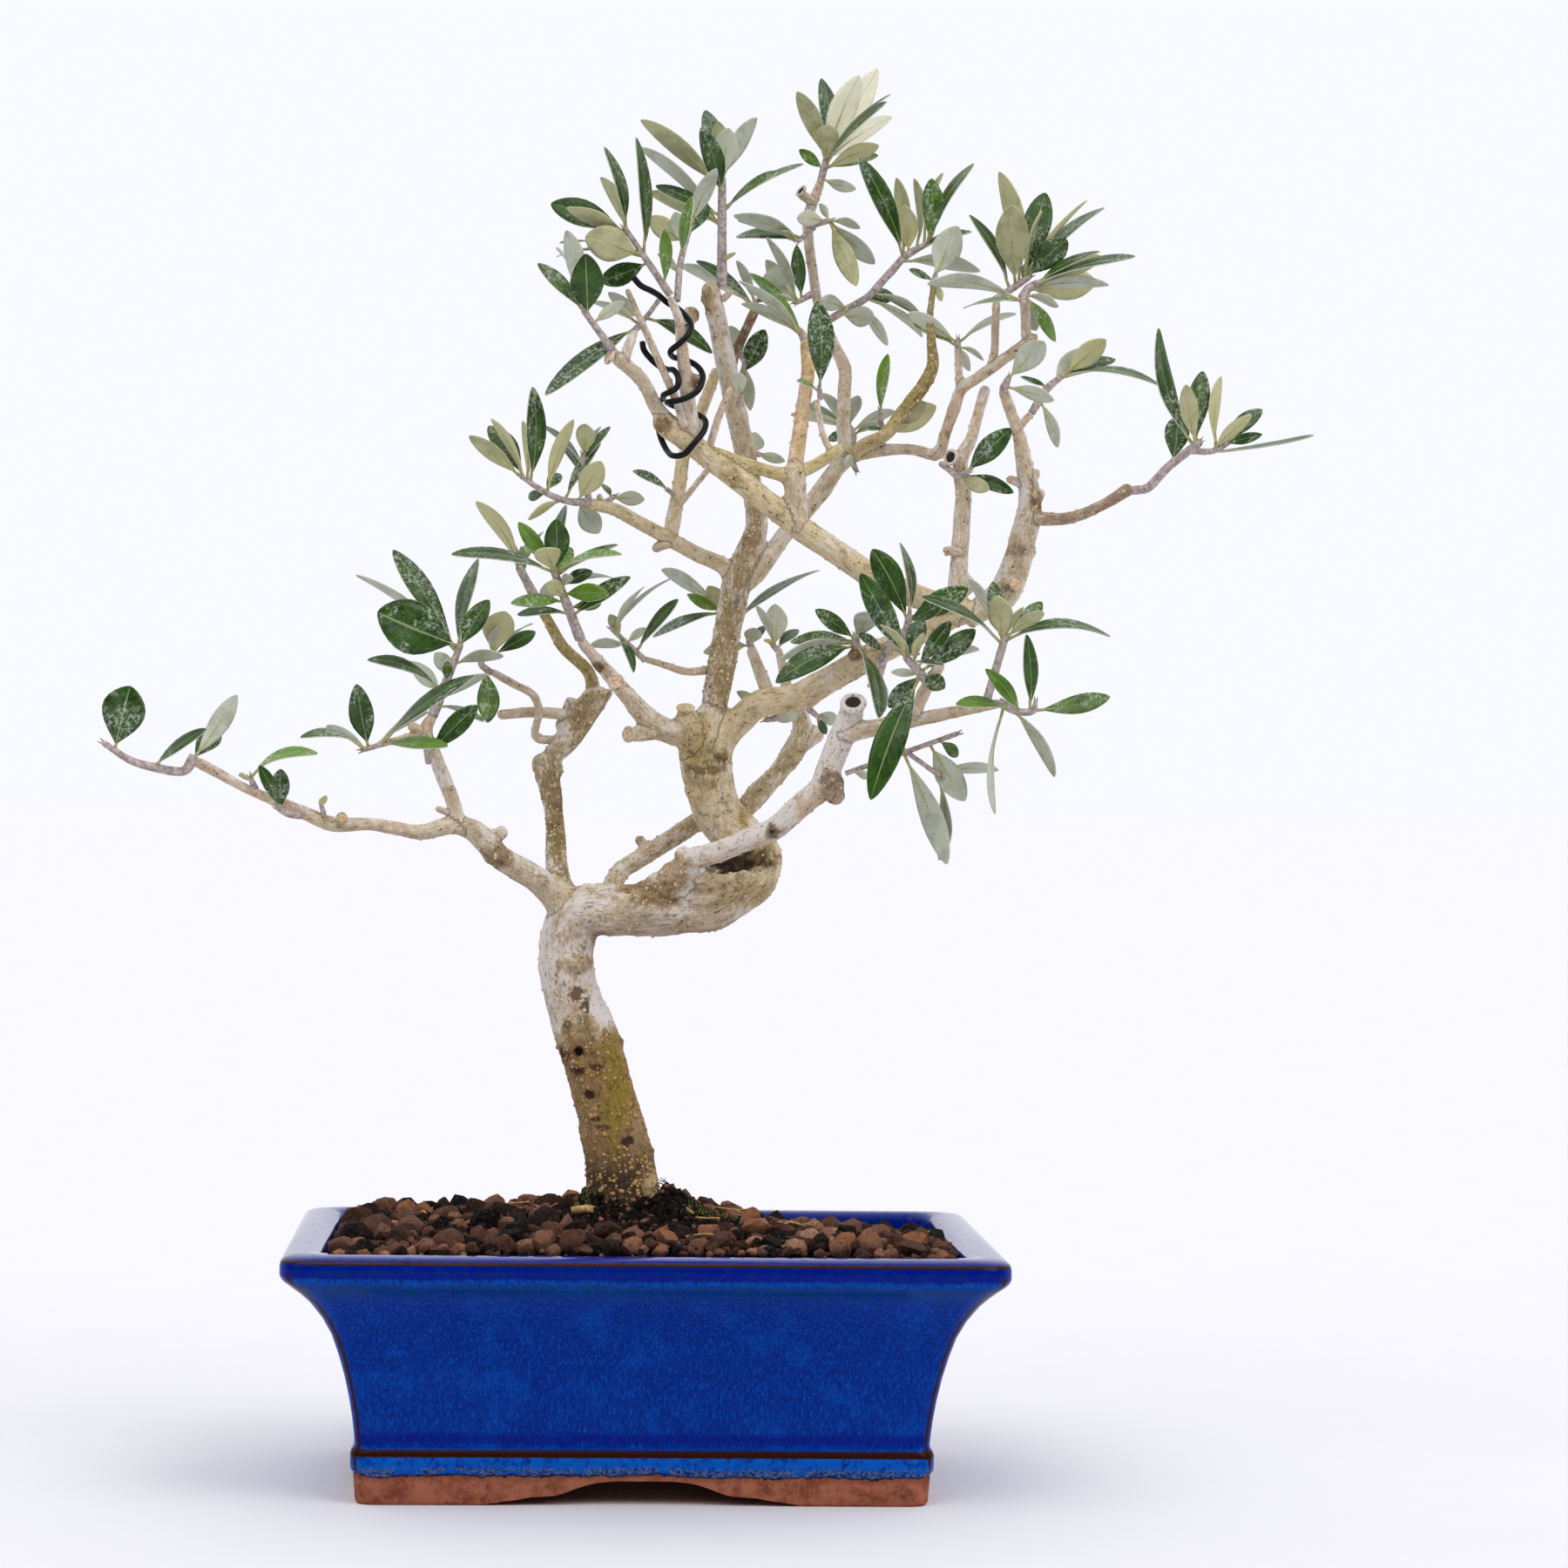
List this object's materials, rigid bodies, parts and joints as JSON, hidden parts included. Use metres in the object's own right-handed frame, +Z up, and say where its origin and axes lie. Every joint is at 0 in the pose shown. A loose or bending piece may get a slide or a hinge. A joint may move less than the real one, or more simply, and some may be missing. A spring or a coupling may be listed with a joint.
{
  "type": "olive bonsai in a pot",
  "caption": "Small trained olive tree with slender grey-green leaves, bent trunk and training wire, in a blue glazed rectangular pot of clay grains.",
  "frame": {"origin": "middle of the plant's bounding box, on the surface that the pot stands on", "axes": "+Z up, +X to the right along the pot's long side, +Y to the back"},
  "size_m": [0.3784, 0.16, 0.4651],
  "materials": {
    "glaze": "gloss",
    "soil": "rough",
    "bark": "rough",
    "leaf": "satin",
    "wire": "satin",
    "drain_mesh": "matte"
  },
  "bodies": {
    "root": {"drain_mesh_left": "drain_mesh", "drain_mesh_right": "drain_mesh", "pot": "glaze", "shoot_arm_tip": "leaf", "shoot_arm_twig": "leaf", "shoot_behind_leader": "leaf", "shoot_behind_leader_low": "leaf", "shoot_centre_left": "leaf", "shoot_centre_right_hang": "leaf", "shoot_crown_inner": "leaf", "shoot_crown_left_leaf": "leaf", "shoot_crown_mid": "leaf", "shoot_crown_right_a": "leaf", "shoot_crown_right_b": "leaf", "shoot_crown_shoot_leaf": "leaf", "shoot_crown_side": "leaf", "shoot_crown_top": "leaf", "shoot_crown_top_low": "leaf", "shoot_dark_stem_mid": "leaf", "shoot_dark_stem_top": "leaf", "shoot_dead_twig": "leaf", "shoot_far_right": "leaf", "shoot_fork_low": "leaf", "shoot_fork_mid": "leaf", "shoot_fork_red_twig": "leaf", "shoot_fork_under": "leaf", "shoot_front_left": "leaf", "shoot_front_right_low": "leaf", "shoot_hub_behind": "leaf", "shoot_hub_leaf_front": "leaf", "shoot_hub_leaves": "leaf", "shoot_leader_leaf": "leaf", "shoot_leader_shoot": "leaf", "shoot_leaf_behind_hub": "leaf", "shoot_left_branch_a": "leaf", "shoot_left_branch_b": "leaf", "shoot_left_heart": "leaf", "shoot_left_heart_right": "leaf", "shoot_left_low": "leaf", "shoot_left_mid": "leaf", "shoot_left_sprout": "leaf", "shoot_left_tip": "leaf", "shoot_left_upper": "leaf", "shoot_limb_end": "leaf", "shoot_limb_front": "leaf", "shoot_limb_left": "leaf", "shoot_limb_middle": "leaf", "shoot_limb_under": "leaf", "shoot_olive_top": "leaf", "shoot_outer_right_a": "leaf", "shoot_outer_right_b": "leaf", "shoot_right_front_low": "leaf", "shoot_right_front_up": "leaf", "shoot_upper_left": "leaf", "shoot_wired_side": "leaf", "shoot_wired_top": "leaf", "soil": "soil", "training_wire": "wire", "trunk_and_branches": "bark"}
  },
  "joints": []
}
